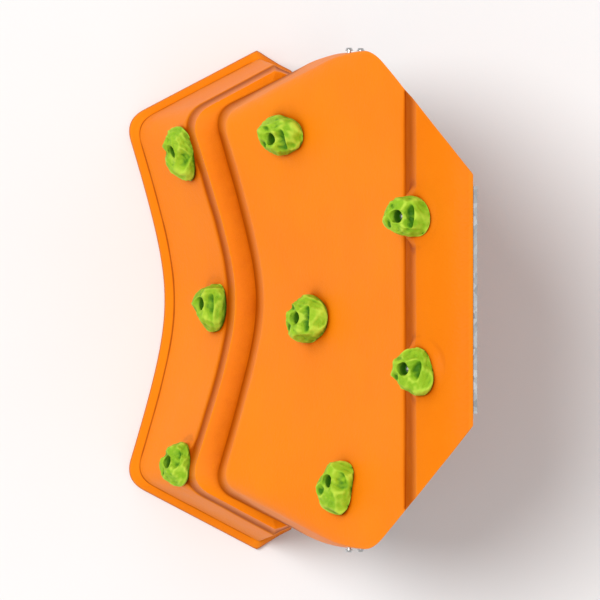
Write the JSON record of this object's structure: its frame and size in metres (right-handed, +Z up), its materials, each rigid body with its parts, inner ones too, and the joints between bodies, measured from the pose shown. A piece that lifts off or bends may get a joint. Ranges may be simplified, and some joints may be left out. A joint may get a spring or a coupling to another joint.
{
  "type": "rock climbing wall",
  "caption": "Play-deck climber: two moulded plastic shells with bolt-on rock holds, a steel deck bracket and a galvanised rear support frame.",
  "frame": {"origin": "on the ground, under the middle of the part's bounding box; the deck edge's plane is at y = +0.3617 m", "axes": "+Z up, +Y from the climber towards the deck, +X to the right for someone who faces the wall"},
  "size_m": [1.056, 0.7234, 1.2201],
  "materials": {
    "shell_orange": "satin moulded polyethylene with a fine grain",
    "hold_green": "gritty cast resin",
    "galvanised": "hot-dip galvanised, dull, spangled",
    "fastener_steel": "zinc-plated",
    "cap_black": "satin"
  },
  "bodies": {
    "root": {"lower_section": "shell_orange", "upper_section": "shell_orange", "hold_1": "hold_green", "hold_2": "hold_green", "hold_3": "hold_green", "hold_4": "hold_green", "hold_5": "hold_green", "hold_6": "hold_green", "hold_7": "hold_green", "hold_8": "hold_green", "hold_bolts": "fastener_steel", "hold_washers": "fastener_steel", "hold_nuts": "fastener_steel", "section_bolts": "fastener_steel", "section_washers": "fastener_steel", "section_nuts": "fastener_steel", "deck_bracket": "galvanised", "bracket_bolts": "fastener_steel", "bracket_washers": "fastener_steel", "left_leg": "galvanised", "right_leg": "galvanised", "left_leg_tab": "galvanised", "right_leg_tab": "galvanised", "left_base_plate": "galvanised", "right_base_plate": "galvanised", "upper_cross_tube": "galvanised", "lower_cross_tube": "galvanised", "leg_caps": "cap_black", "leg_bolts": "fastener_steel", "leg_washers": "fastener_steel", "leg_nuts": "fastener_steel"}
  },
  "joints": []
}
